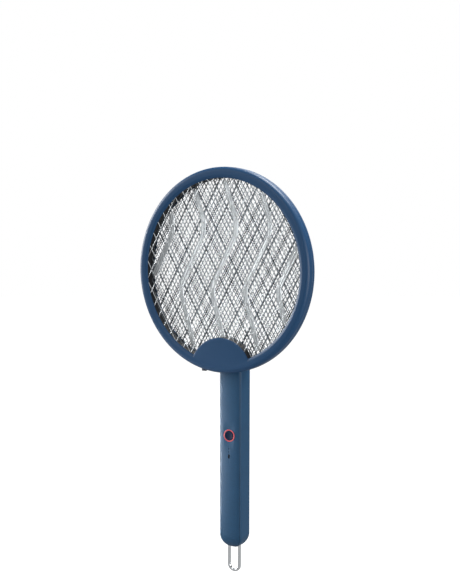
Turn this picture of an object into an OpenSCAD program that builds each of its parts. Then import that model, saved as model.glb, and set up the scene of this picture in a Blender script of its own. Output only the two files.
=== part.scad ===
// Folding electric fly swatter: an oval net head on a straight handle.
// +Z runs up from the handle to the head, and the nets face -Y.
// The origin is the middle of the grip, on the handle's own centre line.

/* [Head] */
// Width of the head ring
head_w = 227; // [200:1:240]
// Height of the head ring
head_h = 234.4; // [210:0.2:250]
// Front-to-back thickness of the head ring
head_t = 17; // [16:0.5:19]
// Width of the ring seen from the front
rim_w = 12; // [10.5:0.5:15]
// Radius of the ring's outer edges
rim_edge = 5; // [3:0.5:6]
// Wall of the two ring shells
head_wall = 1.8; // [1.4:0.1:2.2]
// Radius of the half-disc cover over the hinge
cover_r = 41; // [38:0.5:46]

/* [Nets] */
// Width of one diamond in the two guard nets
guard_cell_w = 13.7; // [12:0.1:18]
// Height of one diamond in the two guard nets
guard_cell_h = 24.1; // [20:0.1:30]
// Width of a guard net strand
guard_strand = 1; // [0.8:0.1:1.6]
// Thickness of a guard net
guard_t = 0.7; // [0.5:0.1:0.9]
// Thickness of the live net
live_t = 0.3; // [0.2:0.1:0.5]
// Distance between neighbouring zigzag ribs
rib_pitch = 43.5; // [38:0.5:50]
// Width of a zigzag rib
rib_w = 5.6; // [3:0.1:7]

/* [Handle] */
// Width of the handle
handle_w = 30; // [28:0.5:34]
// Front-to-back depth of the handle
handle_d = 26; // [26:0.5:28]
// Radius of the handle's long edges
handle_edge = 4.2; // [3.5:0.1:5.5]
// Distance from the grip's middle down to the rounded end
grip_down = 65; // [63:0.5:68]
// Wall of the two handle shells
handle_wall = 1.6; // [1.4:0.1:1.8]
// Height of the fold axis above the grip's middle
fold_z = 160; // [159:0.5:162]

/* [Controls] */
// Height of the button above the grip's middle
button_z = 73; // [70:1:76]
// Diameter of the button cap
button_dia = 11.6; // [10:0.1:12]
// Outer diameter of the lit ring
light_dia = 14.6; // [14:0.1:16]
// Travel of the release tab
release_travel = 2; // [1:0.5:2]

/* [Hanging loop] */
// Diameter of the loop's wire
loop_wire = 4; // [3:0.1:4.2]
// Outer width of the loop
loop_w = 18; // [17:0.5:19]
// Length of the loop below the handle when it is pulled out
loop_out = 30.8; // [28:0.1:34]

/* [Hidden] */
$fn = 96;
// Small overlap that keeps cuts and joints clean.
eps = 0.01;
// Gap between parts that move past each other.
gap = 0.3;

// Head
ring_r = head_w / 2;
opening_r = ring_r - rim_w;
straight = head_h - head_w;
head_y = -25;
head_z = fold_z + 106.8;
head_bottom = head_z - head_h / 2;
front_y = head_y - head_t / 2;
back_y = head_y + head_t / 2;
lip_bevel = 1.5;
part_line = 0.1;
seat_r = ring_r - head_wall - 2.7;
spacer_wall = 5;
front_seat = front_y + head_wall;
rear_seat = back_y - head_wall;
live_y = head_y + 2.1;
head_screw_in = 8;

// Fold
barrel_r = handle_d / 2;
barrel_foot = fold_z - 9;
pin_r = 2;
bush_r = 3.5;
bush_len = 10;
bush_play = 0.05;
ear_t = 4.5;
ear_r = 8;
contact_in = 5;
contact_out = 7.5;
contact_t = 0.5;
ear_x = handle_w / 2 + gap + contact_t;
contact_mid = (contact_in + contact_out) / 2;
lead_r = 0.7;

// Release tab
tab_x = [-31.5, -26];
tab_bottom = 149.2;
slider_z = [fold_z - 2.5, fold_z + 3];
slider_y = [-22.6, -19.6];
nose_x = [-12, -6];
nose_y = -barrel_r - 0.4;
spring_x = -18;
spring_top = 173;
spring_coil = 1.9;
spring_wire = 0.35;

// Handle
shell_top = barrel_foot;
tongue_bottom = fold_z - 29.5;
inner_w = handle_w - 2 * handle_wall;
inner_d = handle_d - 2 * handle_wall;
face_y = -handle_d / 2;
cover_lip = 0.4;
// Flat at the very tip of the handle's dome.
tip_flat = 0.3;
cover_y = face_y + handle_wall + cover_lip;
board_y = -4;
board_t = 1.6;
board_z = [46, 129];
lens_z = 48;
dots_z = [53.5, 57.2];
cell_r = 9.2;
cell_z = [-22, 43];
port_z = 60;
screw_r = 1.25;
screw_head_r = 2.3;
boss_r = 2.6;
low_screw_z = -48;
high_screw_z = 138;
high_screw_x = 8;

// Loop
leg_x = (loop_w - loop_wire) / 2;
loop_r = loop_wire / 2;
loop_bend_z = -grip_down - loop_out + loop_w / 2;
guide_z = [-58, -54];
stop_z = [guide_z[1] + gap, guide_z[1] + gap + 2.7];
stop_r = 3;

// Draws a shape of the x-z plane and gives it a thickness from y0 towards +Y.
module along_y(y0, t) {
    translate([0, y0 + t, 0]) rotate([90, 0, 0]) linear_extrude(t) children();
}

// Draws a shape of the y-z plane and gives it a thickness from x0 towards +X.
module along_x(x0, t) {
    translate([x0, 0, 0]) rotate([90, 0, 90]) linear_extrude(t) children();
}

// Repeats its children on both sides of the centre plane.
module both_sides() {
    children();
    mirror([1, 0, 0]) children();
}

// A box between two corners.
module block(low, high) {
    translate(low) cube(high - low);
}

// A rod between two heights, at a place in plan.
module rod_z(x, y, z0, z1, r) {
    translate([x, y, z0]) cylinder(r = r, h = z1 - z0);
}

// A rod between two depths, at a place seen from the front.
module rod_y(x, z, y0, y1, r) {
    translate([x, y1, z]) rotate([90, 0, 0]) cylinder(r = r, h = y1 - y0);
}

// A rod between two sideways places, at a place seen from the side.
module rod_x(y, z, x0, x1, r) {
    translate([x0, y, z]) rotate([0, 90, 0]) cylinder(r = r, h = x1 - x0);
}

// The head's oval, seen from the front: two half circles of radius r and short straight sides.
module oval(r) {
    for (side = [-1, 1]) translate([0, head_z + side * straight / 2]) circle(r);
    translate([0, head_z]) square([2 * r, straight], center = true);
}

// The half-disc at the bottom of the head, seen from the front.
module cover_disc(r) {
    translate([0, head_bottom]) circle(r);
}

// Section through one ring shell: radius across, depth from the middle plane up.
module rim_section() {
    half = head_t / 2;
    inner_edge = rim_edge - head_wall;
    difference() {
        union() {
            translate([opening_r, part_line]) square([rim_w - rim_edge, half - part_line]);
            translate([opening_r, part_line]) square([rim_w, half - rim_edge - part_line]);
            translate([ring_r - rim_edge, half - rim_edge]) circle(rim_edge);
        }
        translate([opening_r - 1, -1]) square([rim_w - rim_edge + 1, half - head_wall + 1]);
        translate([opening_r - 1, -1]) square([rim_w - head_wall + 1, half - rim_edge + 1]);
        translate([ring_r - rim_edge, half - rim_edge]) circle(inner_edge);
        translate([opening_r - 1, part_line - 3 * rim_edge]) square([rim_w + 2, 3 * rim_edge]);
        polygon([
            [opening_r - eps, half - lip_bevel * 0.6],
            [opening_r - eps, half + eps],
            [opening_r + lip_bevel, half + eps]
        ]);
    }
}

// One ring shell with its half-disc cover, facing -Y.
module ring_shell() {
    for (side = [-1, 1]) {
        translate([0, 0, head_z + side * straight / 2]) rotate([90, 0, 0])
            rotate_extrude(angle = 180, start = side > 0 ? 0 : 180) rim_section();
        translate([0, 0, head_z - straight / 2]) rotate([0, 0, side > 0 ? 0 : 180])
            mirror([0, side > 0 ? 1 : 0, 0]) linear_extrude(straight) rim_section();
    }
    along_y(-head_t / 2, head_wall) intersection() {
        cover_disc(cover_r);
        oval(ring_r - rim_edge + 0.5);
    }
}

// Places of the screws that hold the two ring shells together.
module at_head_screws() {
    for (p = [[-24, 172], [24, 172], [0, 183]]) translate([p[0], 0, p[1]]) children();
}

module front_ring() {
    color("#2c4a6b") difference() {
        union() {
            translate([0, head_y, 0]) ring_shell();
            at_head_screws() rod_y(0, 0, front_seat - eps, rear_seat - 2, boss_r);
        }
        at_head_screws() rod_y(0, 0, rear_seat - head_screw_in, rear_seat, screw_r);
    }
}

// The side wall of one hinge ear, seen from the side.
module ear_outline() {
    translate([0, fold_z]) circle(ear_r);
    translate([back_y - head_wall / 2, fold_z - ear_r]) square([-back_y + head_wall / 2, 2 * ear_r]);
}

module rear_ring() {
    color("#2a4766") difference() {
        union() {
            translate([0, head_y, 0]) mirror([0, 1, 0]) ring_shell();
            both_sides() along_x(ear_x, ear_t) ear_outline();
            block([spring_x - 3, slider_y[0], spring_top], [spring_x + 3, rear_seat + eps, spring_top + 2]);
        }
        rod_x(0, fold_z, -ear_x - ear_t - 1, ear_x + ear_t + 1, pin_r);
        both_sides() rod_y(ear_x + ear_t / 2, fold_z, rear_seat - 1, -contact_mid + lead_r, lead_r);
        both_sides() rod_x(-contact_mid, fold_z, ear_x - 1, ear_x + ear_t / 2, lead_r);
        at_head_screws() rod_y(0, 0, rear_seat - 1, back_y + 1, screw_r);
        at_head_screws() rod_y(0, 0, back_y - 1, back_y + 1, screw_head_r);
        block(
            [tab_x[0] - gap - 0.1, slider_y[0] - gap - 0.1, head_bottom - 2],
            [tab_x[1] + gap + 0.1, slider_y[1] + gap + 0.1, slider_z[0] - 0.5]
        );
        block(
            [nose_x[0] - gap - 0.1, rear_seat - 1, slider_z[0] - 0.5],
            [nose_x[1] + gap + 0.1, back_y + 1, slider_z[1] + release_travel + 0.5]
        );
    }
}

// The outline that a net fills: it tucks under the rim and under the cover.
module net_outline() {
    difference() {
        oval(seat_r - 1);
        cover_disc(cover_r - spacer_wall + 1);
    }
}

// Crossed strands that leave upright diamonds between them.
module diamonds(cell_w, cell_h, strand) {
    reach = ring_r + head_h / 2 * cell_w / cell_h;
    count = ceil(reach / cell_w);
    lean = atan(cell_w / cell_h);
    for (k = [-count : count]) {
        for (side = [-1, 1]) {
            translate([k * cell_w, head_z]) rotate(side * lean) square([strand, 3 * ring_r], center = true);
        }
    }
}

module guard_net(y0) {
    along_y(y0, guard_t) intersection() {
        diamonds(guard_cell_w, guard_cell_h, guard_strand);
        net_outline();
    }
}

module front_net() {
    color("#c9ced2") guard_net(front_seat);
}

module rear_net() {
    color("#8b9094") guard_net(rear_seat - guard_t);
}

// One pressed rib: a band that bends right, left and right again on its way down.
module zigzag() {
    path = [[0, 103], [15, 58], [15, 42], [-16, -17], [-16, -29], [-2, -77], [4, -103]];
    for (i = [0 : len(path) - 2]) {
        a = path[i];
        b = path[i + 1];
        polygon([
            [a[0] - rib_w / 2, a[1]], [a[0] + rib_w / 2, a[1]],
            [b[0] + rib_w / 2, b[1]], [b[0] - rib_w / 2, b[1]]
        ]);
    }
}

module live_net() {
    color("#aab2b8") {
        along_y(live_y, live_t) net_outline();
        for (k = [-2 : 2]) {
            along_y(live_y - 0.5, 0.5 + eps) intersection() {
                translate([k * rib_pitch, head_z]) zigzag();
                difference() {
                    oval(opening_r - 2);
                    cover_disc(cover_r + 1);
                }
            }
        }
    }
}

// The dark wall between two nets, round the ring and over the cover's edge.
module spacer_outline() {
    difference() {
        oval(seat_r);
        oval(opening_r + 0.2);
        cover_disc(cover_r - 0.2);
    }
    intersection() {
        difference() {
            cover_disc(cover_r - 0.2);
            cover_disc(cover_r - spacer_wall);
        }
        oval(seat_r);
    }
}

module front_spacer() {
    y0 = front_seat + guard_t;
    color("#15171a") along_y(y0, live_y - y0) spacer_outline();
}

module rear_spacer() {
    y0 = live_y + live_t;
    color("#15171a") along_y(y0, rear_seat - guard_t - y0) spacer_outline();
}

module head_screws() {
    color("silver") at_head_screws() {
        rod_y(0, 0, rear_seat - head_screw_in, back_y - 0.6, screw_r);
        difference() {
            rod_y(0, 0, back_y - 1, back_y, screw_head_r);
            rod_y(0, 0, back_y - 0.6, back_y + 1, 0.8);
        }
    }
}

// Strips that carry the current from the head leads to the edges of the nets.
module net_tabs() {
    color("gold") {
        block([16, live_y - 0.4, 168], [20, live_y, 179.5]);
        block([-20, front_seat + guard_t, 168], [-16, front_seat + guard_t + 0.4, 179.5]);
        block([-20, rear_seat - guard_t - 0.4, spring_top + 2.3], [-16, rear_seat - guard_t, 179.5]);
    }
}

// Each lead leaves its ear contact, turns forward through the ear and climbs to the nets.
module head_leads() {
    lead_x = ear_x + ear_t / 2;
    lead_y = -24;
    color("firebrick") both_sides() {
        rod_x(-contact_mid, fold_z, ear_x, lead_x, lead_r);
        translate([lead_x, -contact_mid, fold_z]) sphere(lead_r);
        rod_y(lead_x, fold_z, lead_y, -contact_mid, lead_r);
        translate([lead_x, lead_y, fold_z]) sphere(lead_r);
        rod_z(lead_x, lead_y, fold_z, 170, lead_r);
    }
}

// A ring that slides on its partner across the fold and carries the current.
module contact_ring(x0) {
    difference() {
        rod_x(0, fold_z, x0, x0 + contact_t, contact_out);
        rod_x(0, fold_z, x0 - 1, x0 + contact_t + 1, contact_in);
    }
}

module ear_contacts() {
    color("goldenrod") both_sides() contact_ring(ear_x - contact_t);
}

module barrel_contacts() {
    color("goldenrod") both_sides() contact_ring(handle_w / 2 - contact_t);
}

module hinge_pin() {
    color("silver") rod_x(0, fold_z, -ear_x - ear_t, ear_x + ear_t, pin_r);
}

module hinge_caps() {
    color("#22405f") both_sides() rod_x(0, fold_z, ear_x + ear_t, ear_x + ear_t + 1, ear_r - 2.5);
}

module release_tab() {
    color("#1a2c42") {
        block([tab_x[0], slider_y[0], slider_z[0]], [nose_x[1], slider_y[1], slider_z[1]]);
        block([tab_x[0], slider_y[0], tab_bottom], [tab_x[1], slider_y[1], slider_z[0] + 1]);
        block([nose_x[0], slider_y[1] - 1, slider_z[0]], [nose_x[1], nose_y, slider_z[1] - 1]);
    }
}

module release_spring() {
    turns = 6;
    height = spring_top - slider_z[1] - 2 * spring_wire;
    color("silver") translate([spring_x, (slider_y[0] + slider_y[1]) / 2, slider_z[1] + spring_wire]) {
        for (i = [0 : turns]) {
            translate([0, 0, i * height / turns])
                rotate_extrude() translate([spring_coil, 0]) circle(spring_wire);
        }
        for (side = [-1, 1]) {
            translate([side * spring_coil, 0, 0]) cylinder(r = spring_wire * 0.8, h = height);
        }
    }
}

// The handle's outside at inset 0, or its inside at a larger inset, as one solid.
module handle_solid(inset, top) {
    w = handle_w / 2 - inset;
    d = handle_d / 2 - inset;
    e = handle_edge - inset;
    low = -grip_down + inset;
    intersection() {
        translate([0, 0, low + tip_flat])
            linear_extrude(top - low - tip_flat) handle_section(w, d, e);
        along_y(-d, 2 * d) domed_outline(w, low, top);
        along_x(-w, 2 * w) domed_outline(d, low, top);
        round_end(norm([w - e, d - e]) + e, low, top);
    }
}

// Cross-section of the handle, with round corners.
module handle_section(w, d, e) {
    square([2 * w, 2 * (d - e)], center = true);
    square([2 * (w - e), 2 * d], center = true);
    for (x = [-1, 1]) {
        for (y = [-1, 1]) {
            translate([x * (w - e), y * (d - e)]) circle(e);
        }
    }
}

// A straight outline whose lower end is a half circle.
module domed_outline(half, low, top) {
    translate([0, low + half]) circle(half);
    translate([-half, low + half]) square([2 * half, top - low - half]);
}

// A rod whose lower end is a half ball.
module round_end(r, low, top) {
    translate([0, 0, low + r]) sphere(r);
    translate([0, 0, low + r]) cylinder(r = r, h = top - low - r);
}

// The part of the hollow handle in front of the cover's seat for -1, or behind it for 1.
module handle_shell(side) {
    intersection() {
        difference() {
            handle_solid(0, shell_top);
            handle_solid(handle_wall, shell_top + 1);
            both_sides() rod_z(leg_x, 0, -grip_down - 1, guide_z[0], loop_r + gap);
        }
        translate([-handle_w, side < 0 ? cover_y - handle_d : cover_y, -grip_down - 1])
            cube([2 * handle_w, side < 0 ? handle_d : 2 * handle_d, 2 * grip_down + shell_top]);
    }
}

// Draws its children at each screw that closes the handle.
module at_handle_screws() {
    translate([0, 0, low_screw_z]) children();
    for (x = [-high_screw_x, high_screw_x]) translate([x, 0, high_screw_z]) children();
}

// The opening of the charging port, a long round-ended slot in the handle's left side.
module port_slot(x0, x1, half_w, half_h) {
    y = board_y - half_h - 0.1;
    rod_x(y, port_z - half_w + half_h, x0, x1, half_h);
    rod_x(y, port_z + half_w - half_h, x0, x1, half_h);
    block([x0, y - half_h, port_z - half_w + half_h], [x1, y + half_h, port_z + half_w - half_h]);
}

module handle_front() {
    color("#3a5878") difference() {
        union() {
            handle_shell(-1);
            translate([0, 0, low_screw_z]) rod_y(0, 0, face_y + 1, -1, boss_r);
        }
        rod_y(0, button_z, face_y - 1, 0, light_dia / 2);
        rod_y(0, lens_z - 1.5, face_y - 1, 0, 1);
        rod_y(0, lens_z + 1.5, face_y - 1, 0, 1);
        block([-1, face_y - 1, lens_z - 1.5], [1, 0, lens_z + 1.5]);
        for (z = dots_z) rod_y(0, z, face_y - 1, 0, 0.6);
        translate([0, 0, low_screw_z]) rod_y(0, 0, -9, 0, screw_r);
    }
}

module handle_rear() {
    color("#35526f") difference() {
        union() {
            handle_shell(1);
            translate([0, 0, low_screw_z]) rod_y(0, 0, -1, -face_y - 1, boss_r);
        }
        at_handle_screws() rod_y(0, 0, -2, 20, screw_r);
        port_slot(-handle_w, -inner_w / 2 + 1, 4.6, 1.7);
        at_handle_screws() rod_y(0, 0, -face_y - 1.2, 20, screw_head_r);
    }
}

module handle_screws() {
    color("silver") at_handle_screws() {
        rod_y(0, 0, -7, -face_y - 0.8, screw_r);
        difference() {
            rod_y(0, 0, -face_y - 1.2, -face_y, screw_head_r);
            rod_y(0, 0, -face_y - 0.7, 20, 0.8);
        }
    }
}

// The barrel seen from the side: a half round above a straight foot.
module barrel_outline() {
    difference() {
        translate([0, fold_z]) circle(barrel_r);
        translate([-barrel_r - 1, barrel_foot - barrel_r]) square([2 * barrel_r + 2, barrel_r]);
    }
    translate([-barrel_r, barrel_foot]) square([2 * barrel_r, fold_z - barrel_foot]);
}

// The round head of the handle, which turns between the ears.
module hinge_barrel() {
    notch = 1.5;
    color("#2c4865") difference() {
        intersection() {
            union() {
                along_x(-handle_w / 2, handle_w) barrel_outline();
                translate([0, 0, tongue_bottom]) linear_extrude(barrel_foot + 1 - tongue_bottom)
                    handle_section(inner_w / 2 - 0.2, inner_d / 2 - 0.2, handle_edge - handle_wall);
            }
            translate([0, 0, tongue_bottom - 1]) linear_extrude(60)
                handle_section(handle_w / 2, handle_d / 2, handle_edge);
        }
        rod_x(0, fold_z, -handle_w, handle_w, bush_r);
        both_sides() contact_ring(handle_w / 2 - contact_t);
        both_sides() rod_z(3, 0, tongue_bottom - 1, fold_z - contact_mid, lead_r);
        both_sides() rod_x(0, fold_z - contact_mid, 3, handle_w / 2, lead_r);
        both_sides() translate([3, 0, fold_z - contact_mid]) sphere(lead_r);
        both_sides() rod_y(high_screw_x, high_screw_z, -7, 20, screw_r);
        block([nose_x[0] - 0.5, -barrel_r - 1, fold_z - 3], [nose_x[1] + 0.5, -barrel_r + notch, fold_z + 3]);
        block([nose_x[0] - 0.5, -3, fold_z + barrel_r - notch], [nose_x[1] + 0.5, 3, fold_z + barrel_r + 1]);
        block([nose_x[0] - 0.5, barrel_r - notch, fold_z - 3], [nose_x[1] + 0.5, barrel_r + 1, fold_z + 3]);
    }
}

module hinge_bushes() {
    color("#b08d3c") both_sides() difference() {
        rod_x(0, fold_z, handle_w / 2 - bush_len, handle_w / 2, bush_r);
        rod_x(0, fold_z, 0, handle_w, pin_r + bush_play);
    }
}

// Each lead climbs from the board through the barrel and turns out to its contact ring.
module handle_leads() {
    ring_z = fold_z - contact_mid;
    color("firebrick") both_sides() {
        rod_z(3, 0, board_z[1] - 6, ring_z, lead_r);
        translate([3, 0, ring_z]) sphere(lead_r);
        rod_x(0, ring_z, 3, handle_w / 2 - contact_t, lead_r);
    }
}

module circuit_board() {
    color("#1d6b3f") block([-12, board_y, board_z[0]], [12, board_y + board_t, board_z[1]]);
}

module tact_switch() {
    color("#222428") difference() {
        block([-3, board_y - 3.4, button_z - 3], [3, board_y, button_z + 3]);
        rod_y(0, button_z, board_y - 4, board_y - 1, 1.75 + gap);
    }
}

module switch_plunger() {
    color("#d8d4c8") rod_y(0, button_z, board_y - 4.4, board_y - 1.9, 1.75);
}

module button_cap() {
    dish = 1.2;
    color("#16263b") difference() {
        union() {
            rod_y(0, button_z, face_y - 0.3, face_y + 2.4, button_dia / 2);
            rod_y(0, button_z, face_y, board_y - 4.4, 2);
        }
        translate([0, face_y - 0.3 - 20 + dish * 0.5, button_z]) sphere(20);
    }
}

// A clear red ring that carries light from the board to the face.
module light_ring() {
    color("#e4685f") difference() {
        union() {
            rod_y(0, button_z, face_y - 0.2, face_y + handle_wall, light_dia / 2);
            rod_y(0, button_z, face_y, board_y - 1.2, light_dia / 2 - 0.4);
        }
        rod_y(0, button_z, face_y - 1, board_y, button_dia / 2 + gap);
    }
}

// A smoked pill and two small dots in the handle's face.
module indicator_lens() {
    color("#0d1420") {
        rod_y(0, lens_z - 1.5, face_y - 0.05, face_y + 3, 1);
        rod_y(0, lens_z + 1.5, face_y - 0.05, face_y + 3, 1);
        block([-1, face_y - 0.05, lens_z - 1.5], [1, face_y + 3, lens_z + 1.5]);
        for (z = dots_z) rod_y(0, z, face_y - 0.05, face_y + 3, 0.6);
    }
}

module status_leds() {
    color("white") {
        for (z = [lens_z, dots_z[0], dots_z[1]]) {
            block([-0.8, board_y - 0.8, z - 0.6], [0.8, board_y, z + 0.6]);
        }
        for (a = [0 : 90 : 270]) {
            translate([6.4 * sin(a), 0, button_z + 6.4 * cos(a)])
                block([-0.6, board_y - 0.8, -0.6], [0.6, board_y, 0.6]);
        }
    }
}

module hv_transformer() {
    y0 = board_y + board_t;
    color("#5b4a2a") {
        block([-7, y0, 86], [7, y0 + 1.5, 102]);
        block([-7.5, y0 + 1.5, 87], [7.5, y0 + 11, 89.5]);
        block([-7.5, y0 + 1.5, 98.5], [7.5, y0 + 11, 101]);
        rod_z(0, y0 + 6.2, 89, 99, 4.6);
    }
}

module hv_capacitor() {
    y0 = board_y + board_t;
    color("#8c2f23") block([-9, y0, 107], [9, y0 + 9, 114]);
}

module hv_diodes() {
    y0 = board_y + board_t;
    color("#101114") for (x = [-8, -3, 3, 8]) {
        rod_z(x, y0 + 1.3, 117, 122, 1.3);
    }
}

module charge_port() {
    color("#b9bdc1") difference() {
        port_slot(-handle_w / 2 + 0.4, -handle_w / 2 + 7.7, 4.5, 1.6);
        port_slot(-handle_w / 2, -handle_w / 2 + 6.5, 4.2, 1.3);
    }
}

module battery_cell() {
    color("#2e6f8f") {
        rod_z(0, 0, cell_z[0], cell_z[1] - 1, cell_r);
        rod_z(0, 0, cell_z[1] - 1.2, cell_z[1], 3);
    }
}

module battery_cradle() {
    color("#2b2d30") difference() {
        block([-11.4, 0.5, cell_z[0] - 2], [11.4, inner_d / 2 - 0.1, cell_z[1] + 2]);
        rod_z(0, 0, cell_z[0] - 0.5, cell_z[1] + 0.5, cell_r + 0.1);
        block([-12, 6, -40], [-8.5, 20, 60]);
        block([8.5, 6, -40], [12, 20, 60]);
    }
}

module battery_contacts() {
    color("#d0d2d4") {
        block([-3.5, -3.5, cell_z[0] - 0.5], [3.5, 5, cell_z[0]]);
        block([-3.5, -3.5, cell_z[1]], [3.5, 5, cell_z[1] + 0.5]);
    }
}

// A plate inside the rounded end, drilled for the loop's legs.
module loop_guide() {
    color("#2b2d30") difference() {
        block([-9.6, -5, guide_z[0]], [9.6, 5, guide_z[1]]);
        both_sides() rod_z(leg_x, 0, guide_z[0] - 1, guide_z[1] + 1, loop_r + bush_play);
    }
}

module hanging_loop() {
    color("#dfe3e6") {
        both_sides() rod_z(leg_x, 0, loop_bend_z, stop_z[1], loop_r);
        translate([0, 0, loop_bend_z]) rotate([-90, 0, 0]) rotate_extrude(angle = 180)
            translate([leg_x, 0]) circle(loop_r);
    }
}

module loop_stops() {
    color("#9a9da0") both_sides() difference() {
        rod_z(leg_x, 0, stop_z[0], stop_z[1], stop_r);
        rod_z(leg_x, 0, stop_z[0] - 1, stop_z[1] + 1, loop_r);
    }
}

front_ring();
rear_ring();
front_net();
live_net();
rear_net();
front_spacer();
rear_spacer();
head_screws();
net_tabs();
head_leads();
ear_contacts();
hinge_pin();
hinge_caps();
release_tab();
release_spring();
handle_front();
handle_rear();
hinge_barrel();
hinge_bushes();
barrel_contacts();
handle_leads();
circuit_board();
tact_switch();
switch_plunger();
button_cap();
light_ring();
indicator_lens();
status_leds();
hv_transformer();
hv_capacitor();
hv_diodes();
charge_port();
battery_cell();
battery_cradle();
battery_contacts();
handle_screws();
loop_guide();
hanging_loop();
loop_stops();
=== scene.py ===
"""Electric fly swatter: an oval net head that folds back on a straight handle with a lit button."""

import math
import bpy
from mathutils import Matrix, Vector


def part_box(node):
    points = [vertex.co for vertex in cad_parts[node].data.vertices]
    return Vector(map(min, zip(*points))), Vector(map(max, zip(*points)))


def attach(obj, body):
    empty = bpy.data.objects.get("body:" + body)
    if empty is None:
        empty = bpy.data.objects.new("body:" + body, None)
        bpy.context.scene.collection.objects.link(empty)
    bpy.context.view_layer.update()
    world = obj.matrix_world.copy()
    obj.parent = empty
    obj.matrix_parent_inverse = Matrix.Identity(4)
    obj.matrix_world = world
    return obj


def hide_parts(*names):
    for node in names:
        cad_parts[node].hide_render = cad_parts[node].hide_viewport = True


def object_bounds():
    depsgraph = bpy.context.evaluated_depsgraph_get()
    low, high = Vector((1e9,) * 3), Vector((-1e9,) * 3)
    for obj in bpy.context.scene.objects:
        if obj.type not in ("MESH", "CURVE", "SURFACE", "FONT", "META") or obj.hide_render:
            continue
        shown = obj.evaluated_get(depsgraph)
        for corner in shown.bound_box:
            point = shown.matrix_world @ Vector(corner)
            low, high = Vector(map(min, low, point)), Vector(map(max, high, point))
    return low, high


bl_info = {
    "name": "Electric Fly Swatter",
    "version": (1, 0, 0),
    "blender": (4, 5, 0),
    "location": "View3D > Sidebar > Swatter",
    "description": "Builds a folding electric fly swatter on its packed frame",
    "category": "Object",
}

import bmesh
import bpy
from mathutils import Matrix, Vector

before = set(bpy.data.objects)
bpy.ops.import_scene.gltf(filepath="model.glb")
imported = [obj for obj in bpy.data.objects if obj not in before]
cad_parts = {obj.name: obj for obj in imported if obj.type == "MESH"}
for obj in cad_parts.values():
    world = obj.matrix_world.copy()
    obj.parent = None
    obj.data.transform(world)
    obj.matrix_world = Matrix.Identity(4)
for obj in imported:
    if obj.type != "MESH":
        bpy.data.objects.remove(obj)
CAD_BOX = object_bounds()
MM = 0.001

# The head's measures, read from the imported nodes. Y runs from the front face to the back.
RING_LOW, RING_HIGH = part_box("front_ring")
NET_LOW, NET_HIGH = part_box("front_net")
REAR_LOW, REAR_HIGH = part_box("rear_net")
LIVE_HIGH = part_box("live_net")[1]
WALL = NET_LOW.y - RING_LOW.y
FRONT_Y = RING_LOW.y
BACK_Y = REAR_HIGH.y + WALL
MIDDLE_Y = (FRONT_Y + BACK_Y) / 2
RING_R = (RING_HIGH.x - RING_LOW.x) / 2
OVAL = (RING_HIGH.z - RING_LOW.z) / (2 * RING_R)
HEAD_Z = (RING_HIGH.z + RING_LOW.z) / 2
HEAD_FOOT = RING_LOW.z

# The fold's measures.
PIN_LOW, PIN_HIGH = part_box("hinge_pin")
FOLD_Z = (PIN_LOW.z + PIN_HIGH.z) / 2
BARREL_LOW, BARREL_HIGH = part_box("hinge_barrel")
CAP_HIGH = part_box("hinge_caps")[1]
TAB_LOW, TAB_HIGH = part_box("release_tab")

# The handle's measures.
GRIP_LOW, GRIP_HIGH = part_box("handle_rear")
COVER_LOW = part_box("handle_front")[0]
BUTTON_LOW, BUTTON_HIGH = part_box("button_cap")
LIGHT_LOW, LIGHT_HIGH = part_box("light_ring")
LENS_LOW, LENS_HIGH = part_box("indicator_lens")
PORT_LOW, PORT_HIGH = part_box("charge_port")
LOOP_LOW, LOOP_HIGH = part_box("hanging_loop")

# Half the width of a screw's head, by which its axis lies inside the box of its node.
SCREW_HEAD = 2.3 * MM
# Radius of the recess that a screw's head sits in.
SINK_R = 2.4 * MM


# ---------------------------------------------------------------- colours


def linear(hex_colour):
    """An sRGB hex colour as linear red, green and blue."""
    values = [int(hex_colour[i : i + 2], 16) / 255 for i in (1, 3, 5)]
    return tuple(v / 12.92 if v <= 0.04045 else ((v + 0.055) / 1.055) ** 2.4 for v in values)


def length(name, description, default):
    """A size in metres that the panel shows in the scene's unit."""
    return bpy.props.FloatProperty(
        name=name, description=description, default=default, unit="LENGTH", precision=5
    )


def colour(name, description, hex_colour):
    """A colour swatch."""
    return bpy.props.FloatVectorProperty(
        name=name, description=description, default=linear(hex_colour),
        size=3, min=0, max=1, subtype="COLOR",
    )


class SwatterSizes(bpy.types.PropertyGroup):
    """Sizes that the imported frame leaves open."""

    rim_w: length("Rim width", "Width of the ring seen from the front", 12 * MM)
    rim_edge: length("Rim edge", "Radius of the ring's outer edges", 5 * MM)
    lip_w: length("Lip width", "Width of the slanted lip inside the ring's front", 3.2 * MM)
    lip_d: length("Lip depth", "Depth of the slanted lip inside the ring's front", 1.4 * MM)
    cover_r: length("Cover radius", "Radius of the half-disc over the hinge", 41 * MM)
    cover_edge: length("Cover edge", "Radius of the half-disc's rounded edge", 1.6 * MM)
    guard_w: length("Guard cell width", "Width of one diamond of the guard nets", 13.7 * MM)
    guard_h: length("Guard cell height", "Height of one diamond of the guard nets", 24.1 * MM)
    guard_wire: length("Guard wire", "Width of a guard net's strand", 1.0 * MM)
    live_w: length("Live cell width", "Width of one diamond of the live net", 4.95 * MM)
    live_h: length("Live cell height", "Height of one diamond of the live net", 8.7 * MM)
    live_wire: length("Live wire", "Width of a live net's strand", 1.2 * MM)
    rib_w: length("Rib width", "Width of a zigzag rib pressed in the live net", 6.4 * MM)
    rib_pitch: length("Rib pitch", "Distance between neighbouring ribs", 43.5 * MM)
    handle_edge: length("Handle edge", "Radius of the handle's long edges", 4.2 * MM)
    dome_h: length("Dome height", "Height of the handle's rounded end", 17 * MM)
    crown: length("Crown", "How far the handle's front bulges", 1.7 * MM)
    seam: length("Seam", "Gap between two closed shells", 0.36 * MM)
    seam_d: length("Seam depth", "Depth of the cover's seam behind the handle's face", 2.4 * MM)


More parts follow.
